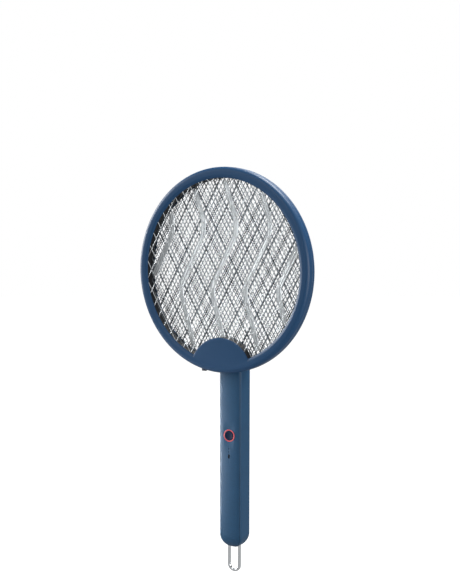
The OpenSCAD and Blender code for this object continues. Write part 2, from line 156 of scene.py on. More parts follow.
class SwatterColours(bpy.types.PropertyGroup):
    """Colours of the visible finishes."""

    ring: colour("Ring", "Moulded plastic of the head", "#1e4a73")
    handle: colour("Handle", "Moulded plastic of the handle", "#235074")
    button: colour("Button", "Button cap", "#0d2340")
    light: colour("Light", "Clear ring round the button", "#cf5a60")
    guard: colour("Guard net", "Steel of the guard nets", "#d3d7da")
    live: colour("Live net", "Aluminium of the live net", "#979fa6")
    insulator: colour("Insulator", "Black plastic inside the ring", "#131417")


SIZES = "swatter_sizes"
COLOURS = "swatter_colours"


def sizes():
    """The sizes now set in the scene."""
    return getattr(bpy.context.scene, SIZES)


def tones():
    """The colours now set in the scene."""
    return getattr(bpy.context.scene, COLOURS)


# ---------------------------------------------------------------- materials


def fill(node, inputs):
    """Fills a node's inputs with values or with other nodes' outputs."""
    for key, value in inputs.items():
        if isinstance(value, bpy.types.NodeSocket):
            node.id_data.links.new(value, node.inputs[key])
        else:
            node.inputs[key].default_value = value


def add(tree, kind, inputs=None, **settings):
    """Adds a node with its settings, and fills its inputs."""
    made = tree.nodes.new(kind)
    for key, value in settings.items():
        setattr(made, key, value)
    fill(made, inputs or {})
    return made


def blank_material(name):
    """A new material with only a surface shader, and the object's own coordinates."""
    material = bpy.data.materials.new(name)
    material.use_nodes = True
    tree = material.node_tree
    tree.nodes.clear()
    shader = add(tree, "ShaderNodeBsdfPrincipled")
    add(tree, "ShaderNodeOutputMaterial", {"Surface": shader.outputs["BSDF"]})
    place = add(tree, "ShaderNodeTexCoord").outputs["Object"]
    return material, tree, shader, place


def scaled(base, factor):
    """A colour made darker or lighter, with its alpha."""
    return (*[min(1, c * factor) for c in base], 1)


def moulded(name, base, roughness, grain, depth, mottle=0.06, gloss=0.5):
    """Injection-moulded plastic: a spark-eroded tool leaves fine even pits with soft gloss."""
    material, tree, shader, place = blank_material(name)
    # The mottling runs from 18 mm patches to 1 mm specks, the finest that a whole view can show.
    noise = {"Vector": place, "Scale": 1 / (18 * MM), "Detail": 4.0, "Roughness": 0.8}
    cloud = add(tree, "ShaderNodeTexNoise", noise).outputs["Fac"]
    noise = {"Vector": place, "Scale": 1 / grain, "Detail": 3.0, "Roughness": 0.55}
    pits = add(tree, "ShaderNodeTexNoise", noise).outputs["Fac"]
    both = {"Factor": 0.6, "A": cloud, "B": pits}
    specks = add(tree, "ShaderNodeMix", both, data_type="FLOAT").outputs["Result"]
    ends = {"Factor": specks, "A": scaled(base, 1 - mottle), "B": scaled(base, 1 + mottle)}
    tint = add(tree, "ShaderNodeMix", ends, data_type="RGBA").outputs["Result"]
    low, high = roughness - 0.05, roughness + 0.05
    ends = {"Value": pits, "From Min": 0.3, "From Max": 0.7, "To Min": low, "To Max": high}
    sheen = add(tree, "ShaderNodeMapRange", ends).outputs["Result"]
    relief = {"Strength": 0.6, "Distance": depth, "Height": pits}
    bump = add(tree, "ShaderNodeBump", relief).outputs["Normal"]
    fill(shader, {"IOR": 1.46, "Specular IOR Level": gloss})
    fill(shader, {"Base Color": tint, "Roughness": sheen, "Normal": bump})
    return material


def metal(name, base, roughness, streak=(1, 1, 1), depth=0.004 * MM, mark=0.6 * MM):
    """Bare or plated metal: fine drawn or rolled marks break the reflection along the streak."""
    material, tree, shader, place = blank_material(name)
    along = add(tree, "ShaderNodeMapping", {"Vector": place, "Scale": streak}).outputs["Vector"]
    noise = {"Vector": along, "Scale": 1 / mark, "Detail": 4.0, "Roughness": 0.55}
    marks = add(tree, "ShaderNodeTexNoise", noise).outputs["Fac"]
    noise = {"Vector": place, "Scale": 1 / (9 * MM), "Detail": 3.0, "Roughness": 0.55}
    tarnish = add(tree, "ShaderNodeTexNoise", noise).outputs["Fac"]
    ends = {"Factor": tarnish, "A": scaled(base, 0.9), "B": scaled(base, 1.05)}
    tint = add(tree, "ShaderNodeMix", ends, data_type="RGBA").outputs["Result"]
    low, high = max(0.02, roughness - 0.06), roughness + 0.06
    ends = {"Value": marks, "From Min": 0.3, "From Max": 0.7, "To Min": low, "To Max": high}
    sheen = add(tree, "ShaderNodeMapRange", ends).outputs["Result"]
    relief = {"Strength": 0.4, "Distance": depth, "Height": marks}
    bump = add(tree, "ShaderNodeBump", relief).outputs["Normal"]
    fill(shader, {"Metallic": 1, "Base Color": tint, "Roughness": sheen, "Normal": bump})
    return material


def lit_ring(name, base):
    """Clear red polycarbonate, which carries light from below and glows evenly."""
    material, tree, shader, place = blank_material(name)
    noise = {"Vector": place, "Scale": 1 / (2 * MM), "Detail": 2.0}
    cloud = add(tree, "ShaderNodeTexNoise", noise).outputs["Fac"]
    ends = {"Factor": cloud, "A": scaled(base, 0.85), "B": scaled(base, 1.1)}
    glow = add(tree, "ShaderNodeMix", ends, data_type="RGBA").outputs["Result"]
    fill(shader, {"IOR": 1.58, "Roughness": 0.25, "Emission Strength": 0.35})
    fill(shader, {"Base Color": glow, "Emission Color": glow})
    return material


def laminate(name, base):
    """Printed circuit board: green resin over a woven glass sheet, with faint square tracks."""
    material, tree, shader, place = blank_material(name)
    tints = {"Color1": scaled(base, 1), "Color2": scaled(base, 0.8)}
    cells = {"Vector": place, "Scale": 1 / (1.2 * MM), **tints}
    weave = add(tree, "ShaderNodeTexChecker", cells).outputs
    relief = {"Strength": 0.3, "Distance": 0.01 * MM, "Height": weave["Fac"]}
    bump = add(tree, "ShaderNodeBump", relief).outputs["Normal"]
    fill(shader, {"Base Color": weave["Color"], "Roughness": 0.3, "Normal": bump})
    return material


def wrapped(name, base, pitch):
    """Windings or shrink film round a part: fine rings, pitch apart, catch the light."""
    material, tree, shader, place = blank_material(name)
    wave_pitch = math.tau / 20  # how far apart the node's own rings lie
    wave = {"Vector": place, "Scale": wave_pitch / pitch, "Distortion": 0.4}
    rings = add(tree, "ShaderNodeTexWave", wave, bands_direction="Z").outputs["Fac"]
    ends = {"Factor": rings, "A": scaled(base, 0.75), "B": scaled(base, 1.15)}
    tint = add(tree, "ShaderNodeMix", ends, data_type="RGBA").outputs["Result"]
    relief = {"Strength": 0.5, "Distance": pitch * 0.064, "Height": rings}
    bump = add(tree, "ShaderNodeBump", relief).outputs["Normal"]
    fill(shader, {"Base Color": tint, "Roughness": 0.35, "Normal": bump})
    return material


# Each finish is made by a function from its colour, as a hex value or a swatch's name, and measures.
FINISHES = {
    # Moulded ABS in a finely grained tool: satin, with an even sheen along the ring's round edge.
    # The pits are drawn at half a millimetre, coarser than the real ones, so that they show.
    "abs_ring": (moulded, "ring", 0.42, 0.5 * MM, 0.012 * MM, 0.1),
    # Moulded ABS in a coarser tool than the ring's: a dry, sandy grip with a soft, broad highlight.
    # Its pits are drawn at about a millimetre, coarser than the real ones, so that they show.
    "abs_handle": (moulded, "handle", 0.5, 1.1 * MM, 0.06 * MM, 0.35),
    # Moulded ABS in a deep tone with little gloss: a dark cap whose dish hardly catches the light.
    "abs_button": (moulded, "button", 0.5, 0.4 * MM, 0.01 * MM, 0.06, 0.15),
    # Moulded ABS painted darker than the ring that it runs in, as painted shade: the slider sits low
    # behind the ring, in shade.
    "abs_tab": (moulded, "#182a40", 0.45, 0.4 * MM, 0.02 * MM),
    # Moulded black nylon: almost no colour, with a faint oily sheen on the walls between the nets.
    "black_nylon": (moulded, "insulator", 0.4, 0.5 * MM, 0.02 * MM),
    # Smoked polycarbonate, polished in the tool: black glass with a sharp reflection.
    "smoked_polycarbonate": (moulded, "#0b111c", 0.16, 0.8 * MM, 0.002 * MM),
    # Milky polycarbonate of small lamps and plungers: a warm off-white with soft gloss.
    "white_polycarbonate": (moulded, "#dedbd0", 0.3, 0.4 * MM, 0.01 * MM),
    # Silicone sleeve of the high-voltage leads: rubbery and matt, a clear red.
    "red_silicone": (moulded, "#a01f18", 0.5, 0.3 * MM, 0.02 * MM),
    # Clear red polycarbonate over lamps: a pink glow that hides its own shading.
    "red_polycarbonate": (lit_ring, "light"),
    # Expanded steel sheet, zinc plated: grey strands with a soft, broken metal shine.
    "zinc_steel_net": (metal, "guard", 0.3),
    # The same sheet, painted a darker grey as painted shade: the grid that shows behind the live net
    # lies in its shadow.
    "shaded_steel_net": (metal, "#44484d", 0.45),
    # Expanded aluminium foil, rolled flat: a mid grey that turns pale where it faces a light.
    "rolled_aluminium": (metal, "live", 0.42),
    # Pressed aluminium of the zigzag ribs: scuffed lengthways, so it shines in streaks.
    "pressed_aluminium": (metal, "#e8edf0", 0.42, (1, 1, 0.12), 0.02 * MM, 0.9 * MM),
    # Bright chrome on steel wire: it mirrors the lights as thin white lines beside dark ones.
    "chrome_plate": (metal, "#eef1f4", 0.1, (1, 1, 1), 0.001 * MM),
    # Turned or stamped steel: a plain grey with fine marks across its axis.
    "turned_steel": (metal, "#b4b7ba", 0.28, (1, 1, 6)),
    # Rolled brass strip: warm yellow with marks along the strip.
    "rolled_brass": (metal, "#c7a455", 0.3, (6, 1, 1)),
    # Glass and resin laminate: glossy green with the glass weave just under the surface.
    "circuit_laminate": (laminate, "#1c6a3d"),
    # Varnished tape round the transformer: amber turns with a dark line between them.
    "tape_winding": (wrapped, "#a88734", 1.57 * MM),
    # Dipped film capacitor: brick red with low ripples from the folded film.
    "capacitor_film": (wrapped, "#8c3022", 4.71 * MM),
    # Shrink film on the cell: a blue sleeve with slight waist rings where it shrank.
    "cell_film": (wrapped, "#2f7391", 9.42 * MM),
}


def finish_of(name):
    """The named material, made the first time that it is asked for."""
    if name in bpy.data.materials:
        return bpy.data.materials[name]
    maker, base, *measures = FINISHES[name]
    base = linear(base) if base.startswith("#") else getattr(tones(), base)
    return maker(name, base, *measures)


# ---------------------------------------------------------------- mesh helpers


def shade(mesh, limit):
    """Smooth faces, with a hard edge wherever two faces meet at more than limit degrees."""
    bm = bmesh.new()
    bm.from_mesh(mesh)
    for face in bm.faces:
        face.smooth = True
    for edge in bm.edges:
        edge.smooth = edge.calc_face_angle(0) < math.radians(limit)
    bm.to_mesh(mesh)
    bm.free()


def loose_object(name, bm, recalculate=True):
    """An object from a bmesh, with doubles merged and faces turned outwards."""
    bmesh.ops.remove_doubles(bm, verts=bm.verts, dist=0.002 * MM)
    if recalculate:
        bmesh.ops.recalc_face_normals(bm, faces=bm.faces)
    mesh = bpy.data.meshes.new(name)
    bm.to_mesh(mesh)
    bm.free()
    made = bpy.data.objects.new(name, mesh)
    bpy.context.scene.collection.objects.link(made)
    return made


def settle(obj):
    """Applies an object's modifiers to its mesh."""
    graph = bpy.context.evaluated_depsgraph_get()
    mesh = bpy.data.meshes.new_from_object(obj.evaluated_get(graph))
    mesh.name = obj.name
    obj.modifiers.clear()
    obj.data = mesh


def combine(obj, tools, operation):
    """Cuts, joins or trims an object with bmeshes or objects, which are used up."""
    for tool in tools:
        if isinstance(tool, bmesh.types.BMesh):
            tool = loose_object("tool", tool)
        step = obj.modifiers.new(tool.name, "BOOLEAN")
        step.operation = operation
        step.solver = "EXACT"
        step.object = tool
        settle(obj)
        bpy.data.objects.remove(tool)


def soften(obj, width, angle=40, segments=3):
    """Rounds an object's sharp edges."""
    step = obj.modifiers.new("soften", "BEVEL")
    step.width = width
    step.segments = segments
    step.limit_method = "ANGLE"
    step.angle_limit = math.radians(angle)
    step.use_clamp_overlap = True
    settle(obj)


def deliver(obj, body, material, *replaced, slot=None, limit=32):
    """Gives a finished piece its material, its body and the CAD nodes that it stands for."""
    obj.data.materials.clear()
    obj.data.materials.append(finish_of(material))
    shade(obj.data, limit)
    if replaced:
        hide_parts(*replaced)
    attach(obj, body)
    return obj


def arc(centre, radius, start, end, steps):
    """Points of an arc in a plane, from start to end degrees."""
    turns = [math.radians(start + (end - start) * i / steps) for i in range(steps + 1)]
    return [(centre[0] + radius * math.cos(t), centre[1] + radius * math.sin(t)) for t in turns]


def draw_on(bm, edges):
    """Extrudes a line of edges, and gives the new line's points and edges, not moved yet."""
    made = bmesh.ops.extrude_edge_only(bm, edges=edges)["geom"]
    verts = [v for v in made if isinstance(v, bmesh.types.BMVert)]
    return verts, [e for e in made if isinstance(e, bmesh.types.BMEdge)]


def lathe(points, centre, axis, steps):
    """Spins a closed or axis-touching outline of (radius, height) about an axis through centre."""
    axis = Vector(axis)
    side = axis.orthogonal().normalized()
    bm = bmesh.new()
    verts = [bm.verts.new(Vector(centre) + side * r + axis * h) for r, h in points]
    edges = [bm.edges.new((a, b)) for a, b in zip(verts, verts[1:])]
    if points[0][0] > 0:
        edges.append(bm.edges.new((verts[-1], verts[0])))
    bmesh.ops.spin(
        bm, geom=verts + edges, cent=centre, axis=axis, angle=math.tau, steps=steps,
        use_merge=True, use_duplicate=False,
    )
    return bm


def prism(points, place, direction):
    """A flat outline pushed along a direction; place gives an outline point its place in space."""
    bm = bmesh.new()
    face = bm.faces.new([bm.verts.new(place(p)) for p in points])
    pushed = bmesh.ops.extrude_face_region(bm, geom=[face])["geom"]
    moved = [v for v in pushed if isinstance(v, bmesh.types.BMVert)]
    bmesh.ops.translate(bm, verts=moved, vec=direction)
    return bm


def brick(low, high):
    """A box between two corners."""
    bm = bmesh.new()
    low, high = Vector(low), Vector(high)
    made = bmesh.ops.create_cube(bm, size=1)["verts"]
    bmesh.ops.scale(bm, verts=made, vec=high - low)
    bmesh.ops.translate(bm, verts=made, vec=(low + high) / 2)
    return bm


def pillar(centre, axis, radius, size, steps=48):
    """A round rod that starts at centre and runs size along axis."""
    bm = bmesh.new()
    axis = Vector(axis).normalized()
    turn = axis.to_track_quat("Z", "Y").to_matrix().to_4x4()
    matrix = Matrix.Translation(Vector(centre) + axis * size / 2) @ turn
    bmesh.ops.create_cone(
        bm, cap_ends=True, segments=steps, radius1=radius, radius2=radius, depth=size, matrix=matrix
    )
    return bm


# ---------------------------------------------------------------- head


def stretch_oval(bm):
    """Turns the round head into its oval."""
    shift = Matrix.Translation((0, 0, -HEAD_Z))
    bmesh.ops.scale(bm, verts=bm.verts, vec=(1, 1, OVAL), space=shift)


def rim_outline(side, lip_w, lip_d):
    """Section of a ring shell as (radius, depth), from its face at side -1 or 1 to the parting."""
    s = sizes()
    inner = RING_R - s.rim_w
    corner = RING_R - s.rim_edge
    face = (BACK_Y - FRONT_Y) / 2
    nip = 0.3 * MM
    half_seam = s.seam / 2
    outer = arc((corner, face - s.rim_edge), s.rim_edge, 90, 0, 10)
    inside = arc((corner, face - s.rim_edge), s.rim_edge - WALL, 0, 90, 6)
    points = [(inner, face - WALL), (inner, face - lip_d - nip), (inner + nip, face - lip_d)]
    points += [(inner + lip_w - nip, face - nip * 0.3), (inner + lip_w + nip, face)]
    points += outer
    points += [(RING_R, half_seam + nip), (RING_R - nip, half_seam), (RING_R - WALL, half_seam)]
    points += inside
    return [(r, h * side) for r, h in points]


def cover_plate(side):
    """The half-disc over the hinge, trimmed to lie on the ring's flat face."""
    s = sizes()
    face = (BACK_Y - FRONT_Y) / 2 - 0.02 * MM
    edge = arc((s.cover_r - s.cover_edge, face - s.cover_edge), s.cover_edge, 90, 0, 6)
    points = [(0, face)] + edge + [(s.cover_r, face - WALL), (0, face - WALL)]
    points = [(r, h * side) for r, h in points]
    plate = loose_object("plate", lathe(points, (0, MIDDLE_Y, HEAD_FOOT), (0, 1, 0), 128))
    flat_r = RING_R - s.rim_edge - 0.6 * MM
    trim = pillar((0, MIDDLE_Y - 30 * MM, HEAD_Z), (0, 1, 0), flat_r, 60 * MM, 192)
    stretch_oval(trim)
    combine(plate, [trim], "INTERSECT")
    return plate


def ring_shell(name, side, lip_w, lip_d):
    """One half of the head's ring with its cover plate."""
    bm = lathe(rim_outline(side, lip_w, lip_d), (0, MIDDLE_Y, HEAD_Z), (0, 1, 0), 240)
    stretch_oval(bm)
    shell = loose_object(name, bm)
    combine(shell, [cover_plate(side)], "UNION")
    return shell


def ear(side):
    """One hinge ear: a round lug with a web that reaches the head's back."""
    lug = 8 * MM
    inner = BARREL_HIGH.x + 0.8 * MM
    outer = CAP_HIGH.x - 1 * MM
    outline = arc((0, FOLD_Z), lug, -90, 90, 24)
    root = BACK_Y - WALL / 2
    outline += [(root, FOLD_Z + lug), (root, FOLD_Z - lug)]
    width = side * (outer - inner)
    return prism(outline, lambda p: (side * inner, p[0], p[1]), (width, 0, 0))


def diamond_net(bm, low_y, high_y, cell_w, cell_h, wire, margin):
    """Two families of crossed strands, cut off by the ring's oval and by the half-disc cover."""
    s = sizes()
    # The strands run on under the ring and the half-disc, so that no end shows.
    tuck = 4 * MM
    reach = RING_R - WALL - tuck - margin
    lean = cell_w / cell_h
    depth = high_y - low_y
    count = math.ceil((RING_R + RING_R * OVAL * lean) / cell_w)
    hole = s.cover_r - tuck
    for side in (-1, 1):
        run = Vector((side * lean, 1)).normalized()
        # One family lies a third of the sheet's depth behind the other, so the crossings show.
        front = low_y + (0 if side < 0 else depth * 0.35)
        for k in range(-count, count + 1):
            start = Vector((k * cell_w, 0))
            ends = stretch_in_oval(start, run, reach)
            if not ends:
                continue
            for a, b in outside_disc(start, run, ends, hole):
                strand(bm, start + run * a, start + run * b, wire / 2, front, front + depth * 0.65)


def stretch_in_oval(start, run, reach):
    """Where a line enters and leaves the oval of half width reach, as distances along it."""
    x, z = start.x / reach, start.y / (reach * OVAL)
    u, w = run.x / reach, run.y / (reach * OVAL)
    a, b, c = u * u + w * w, 2 * (x * u + z * w), x * x + z * z - 1
    root = b * b - 4 * a * c
    if root <= 0:
        return None
    return ((-b - math.sqrt(root)) / (2 * a), (-b + math.sqrt(root)) / (2 * a))


def outside_disc(start, run, ends, radius):
    """The stretches of a line between two ends that lie outside the half-disc cover."""
    centre = Vector((0, HEAD_FOOT - HEAD_Z))
    b = 2 * (start - centre).dot(run)
    c = (start - centre).length_squared - radius * radius
    root = b * b - 4 * c
    if root <= 0:
        return [ends]
    near, far = (-b - math.sqrt(root)) / 2, (-b + math.sqrt(root)) / 2
    parts = [(ends[0], min(ends[1], near)), (max(ends[0], far), ends[1])]
    return [(a, z) for a, z in parts if z - a > 1 * MM]


def strand(bm, start, end, half, front, back):
    """One flat six-sided strand, between two points of the head's plane."""
    run = (end - start).normalized()
    mid = (start + end) / 2
    place = Matrix.Translation((mid.x, (front + back) / 2, HEAD_Z + mid.y))
    turn = Matrix(((run.y, 0, run.x), (0, 1, 0), (-run.x, 0, run.y))).to_4x4()
    flat = Matrix.Diagonal((1, (back - front) / (2 * half * math.sin(math.tau / 6)), 1, 1))
    edge_on = Matrix.Rotation(math.tau / 4, 4, "Z")
    bmesh.ops.create_cone(
        bm, cap_ends=True, segments=6, radius1=half, radius2=half, depth=(end - start).length,
        matrix=place @ turn @ flat @ edge_on,
    )


def zigzag_path():
    """The middle of one rib, from top to bottom, with its bends rounded."""
    # Corners across and up, in millimetres from the middle of the head.
    corners = [(0, 103), (15, 58), (15, 42), (-16, -17), (-16, -29), (-2, -77), (4, -103)]
    points = [Vector(c) * MM for c in corners]
    path = [points[0]]
    bend = 4 * MM
    for before, here, after in zip(points, points[1:], points[2:]):
        entry = here + (before - here).normalized() * bend
        leave = here + (after - here).normalized() * bend
        for i in range(7):
            t = i / 6
            path.append(entry * (1 - t) ** 2 + here * 2 * t * (1 - t) + leave * t * t)
    return path + [points[-1]]


def resample(path, step):
    """Points along a path at about equal distances."""
    out = [path[0]]
    for a, b in zip(path, path[1:]):
        pieces = max(1, round((b - a).length / step))
        out += [a.lerp(b, (i + 1) / pieces) for i in range(pieces)]
    return out


def in_window(point, margin):
    """Whether a point of the head's plane shows inside the ring and outside the cover."""
    s = sizes()
    reach = RING_R - s.rim_w - margin
    inside = (point.x / reach) ** 2 + (point.y / (reach * OVAL)) ** 2 < 1
    hinge = Vector((0, HEAD_FOOT - HEAD_Z))
    return inside and (point - hinge).length > s.cover_r - 1 * MM


def rib(bm, path, base_y, height):
    """A shallow pressed channel: two raised borders, and a low middle ridge between furrows."""
    half = sizes().rib_w / 2
    section = [(-1, 0), (-0.88, 1), (-0.68, 1), (-0.52, 0.3), (-0.3, 0.3), (-0.12, 0.8)]
    section += [(-t, rise) for t, rise in reversed(section)]
    ahead = [b - a for a, b in zip(path[:1] + path, path[1:] + path[-1:])]
    across = Vector((ahead[0].y, -ahead[0].x)).normalized() * half
    verts = []
    for t, rise in section:
        point = path[0] + across * t
        verts.append(bm.verts.new((point.x, base_y - height * rise, HEAD_Z + point.y)))
    edges = [bm.edges.new(pair) for pair in zip(verts, verts[1:])]
    for i in range(1, len(path)):
        verts, edges = draw_on(bm, edges)
        step = path[i] - path[i - 1]
        bmesh.ops.translate(bm, verts=verts, vec=(step.x, 0, step.y))
        turn = math.atan2(ahead[i - 1].y, ahead[i - 1].x) - math.atan2(ahead[i].y, ahead[i].x)
        centre = (path[i].x, 0, HEAD_Z + path[i].y)
        bmesh.ops.rotate(bm, verts=verts, cent=centre, matrix=Matrix.Rotation(turn, 3, "Y"))
    if sum(f.normal.y for f in bm.faces) > 0:
        bmesh.ops.reverse_faces(bm, faces=bm.faces)


def head_screw_places():
    """Axis places (x, z) of the three screws in the head's back."""
    low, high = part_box("head_screws")
    top, foot = high.z - SCREW_HEAD, low.z + SCREW_HEAD
    return [(low.x + SCREW_HEAD, foot), (high.x - SCREW_HEAD, foot), (0, top)]


class SWATTER_OT_rings(bpy.types.Operator):
    """Makes the two shells of the head's ring, with the hinge ears on the rear one"""

    bl_idname = "swatter.rings"
    bl_label = "Ring Shells"

    def execute(self, context):
        s = sizes()
        front = ring_shell("rim_front", -1, s.lip_w, s.lip_d)
        deliver(front, "head", "abs_ring", "front_ring", slot="ring_plastic", limit=25)
        rear = ring_shell("rim_rear", 1, s.lip_w * 0.6, s.lip_d * 0.6)
        combine(rear, [ear(-1), ear(1)], "UNION")
        cutters = []
        for x, z in head_screw_places():
            cutters.append(pillar((x, BACK_Y - 1.1 * MM, z), (0, 1, 0), SINK_R, 3 * MM, 32))
        # One slot lets the slider's nose through the back, and one leaves room for its thumb piece.
        slot_low = (TAB_LOW.x + 19 * MM, BACK_Y - 3 * MM, FOLD_Z - 3 * MM)
        slot_high = (TAB_HIGH.x + 0.4 * MM, BACK_Y + 1 * MM, FOLD_Z + 5.5 * MM)
        cutters.append(brick(slot_low, slot_high))
        tab_low = (TAB_LOW.x - 0.4 * MM, TAB_LOW.y - 0.4 * MM, HEAD_FOOT - 2 * MM)
        tab_high = (TAB_LOW.x + 5.9 * MM, TAB_LOW.y + 3.4 * MM, FOLD_Z - 3 * MM)
        cutters.append(brick(tab_low, tab_high))
        combine(rear, cutters, "DIFFERENCE")
        deliver(rear, "head", "abs_ring", "rear_ring", slot="ring_plastic", limit=25)
        return {"FINISHED"}


class SWATTER_OT_nets(bpy.types.Operator):
    """Makes the two guard nets, and the fine live net with its pressed zigzag ribs"""

    bl_idname = "swatter.nets"
    bl_label = "Nets"

    def execute(self, context):
        s = sizes()
        for name, low, high, node, finish, gauge in (
            ("guard_net_front", NET_LOW.y, NET_HIGH.y, "front_net", "zinc_steel_net", 1.0),
            # The rear net takes the darkened finish, which is painted shade.
            ("guard_net_rear", REAR_LOW.y, REAR_HIGH.y, "rear_net", "shaded_steel_net", 1.3),
        ):
            bm = bmesh.new()
            diamond_net(bm, low, high, s.guard_w, s.guard_h, s.guard_wire * gauge, 1 * MM)
            deliver(loose_object(name, bm), "head", finish, node, slot="guard_metal", limit=50)
        bm = bmesh.new()
        face, back = LIVE_HIGH.y - 0.5 * MM, LIVE_HIGH.y
        diamond_net(bm, face, back, s.live_w, s.live_h, s.live_wire, 1.5 * MM)
        live = loose_object("live_net_mesh", bm)
        deliver(live, "head", "rolled_aluminium", "live_net", slot="live_metal", limit=50)
        bm = bmesh.new()
        for k in range(-2, 3):
            shift = Vector((k * s.rib_pitch, 0))
            path = [p + shift for p in resample(zigzag_path(), 2 * MM)]
            path = [p for p in path if in_window(p, 3 * MM)]
            rib(bm, path, LIVE_HIGH.y - 0.35 * MM, 0.45 * MM)
        ribs = loose_object("live_net_ribs", bm, recalculate=False)
        step = ribs.modifiers.new("sheet", "SOLIDIFY")
        step.thickness = 0.25 * MM
        step.offset = -1
        settle(ribs)
        deliver(ribs, "head", "pressed_aluminium", slot="live_metal", limit=20)
        return {"FINISHED"}


# ---------------------------------------------------------------- handle


def handle_section(steps=8):
    """Cross-section of the handle as a closed line, with round corners and a bulging front."""
    s = sizes()
    w, d, e = GRIP_HIGH.x, GRIP_HIGH.y, s.handle_edge
    points = []
    for sx, sy, start in ((1, 1, 0), (-1, 1, 90), (-1, -1, 180), (1, -1, 270)):
        corner = arc((sx * (w - e), sy * (d - e)), e, start, start + 90, steps)
        if points:
            points += between(points[-1], corner[0], 12)
        points += corner
    points += between(points[-1], points[0], 12)
    return [(x, y + s.crown * (x / w) ** 2 * max(0.0, -y / d)) for x, y in points]


def between(a, b, count):
    """Evenly spaced points inside a straight line."""
    run, rise = b[0] - a[0], b[1] - a[1]
    return [(a[0] + run * i / count, a[1] + rise * i / count) for i in range(1, count)]


def split_section(front):
    """The run of the section's points in front of the seam, or behind it, ending on the seam."""
    s = sizes()
    seam_y = -GRIP_HIGH.y + s.seam_d + (-0.5 if front else 0.5) * s.seam
    points = handle_section()
    kept = []
    for a, b in zip(points, points[1:] + points[:1]):
        inside = (a[1] < seam_y) == front
        if inside:
            kept.append((a, None))
        if (a[1] < seam_y) != (b[1] < seam_y):
            t = (seam_y - a[1]) / (b[1] - a[1])
            kept.append(((a[0] + (b[0] - a[0]) * t, seam_y), "enter" if not inside else "leave"))
    start = next(i for i, (_, mark) in enumerate(kept) if mark == "enter")
    return [p for p, _ in kept[start:] + kept[:start]]


def handle_skin(front):
    """The handle's skin on one side of the seam: straight, then drawn in to a dome at the end."""
    s = sizes()
    bm = bmesh.new()
    low, top = GRIP_LOW.z, GRIP_HIGH.z
    shoulder = low + s.dome_h
    line = [bm.verts.new((x, y, top)) for x, y in split_section(front)]
    edges = [bm.edges.new((a, b)) for a, b in zip(line, line[1:])]
    heights = [(top + (shoulder - top) * i / 10, 1.0) for i in range(1, 11)]
    for i in range(1, 25):
        t = math.radians(89.5 * i / 24)
        heights.append((shoulder - s.dome_h * math.sin(t), math.cos(t)))
    scale, z = 1.0, top
    for new_z, new_scale in heights:
        verts, edges = draw_on(bm, edges)
        bmesh.ops.scale(bm, verts=verts, vec=(new_scale / scale, new_scale / scale, 1))
        bmesh.ops.translate(bm, verts=verts, vec=(0, 0, new_z - z))
        scale, z = new_scale, new_z
    tip = list({v for e in edges for v in e.verts})
    bmesh.ops.pointmerge(bm, verts=tip, merge_co=(0, 0, low))
    bmesh.ops.recalc_face_normals(bm, faces=bm.faces)
    middle = max(bm.faces, key=lambda f: abs(f.calc_center_median().y))
    if middle.normal.y * middle.calc_center_median().y < 0:
        bmesh.ops.reverse_faces(bm, faces=bm.faces)
    return bm


def half_shell(name, front):
    """One shell of the handle, given its wall."""
    shell = loose_object(name, handle_skin(front), recalculate=False)
    step = shell.modifiers.new("wall", "SOLIDIFY")
    step.thickness = 1.5 * MM
    step.offset = -1
    step.use_even_offset = True
    settle(shell)
    return shell


def slot_outline(centre, half_w, half_h, steps=8):
    """A round-ended slot whose long way is the second coordinate."""
    x, z = centre
    straight = half_h - half_w
    top = arc((x, z + straight), half_w, 0, 180, steps)
    return top + arc((x, z - straight), half_w, 180, 360, steps)


def slot_cutter(centre, half_w, half_h, y0, y1):
    """A cutter for a round-ended slot in the handle's front."""
    outline = slot_outline(centre, half_w, half_h)
    return prism(outline, lambda p: (p[0], y0, p[1]), (0, y1 - y0, 0))


def port_block(half_w, half_h, x0, x1):
    """A round-ended bar along X, centred on the charging port."""
    y = (PORT_LOW.y + PORT_HIGH.y) / 2
    z = (PORT_LOW.z + PORT_HIGH.z) / 2
    outline = slot_outline((y, z), half_w, half_h)
    return prism(outline, lambda p: (x0, p[0], p[1]), (x1 - x0, 0, 0))


def handle_screw_places():
    """Axis places (x, z) of the three screws in the handle's back."""
    low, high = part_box("handle_screws")
    top, foot = high.z - SCREW_HEAD, low.z + SCREW_HEAD
    return [(0, foot), (low.x + SCREW_HEAD, top), (high.x - SCREW_HEAD, top)]


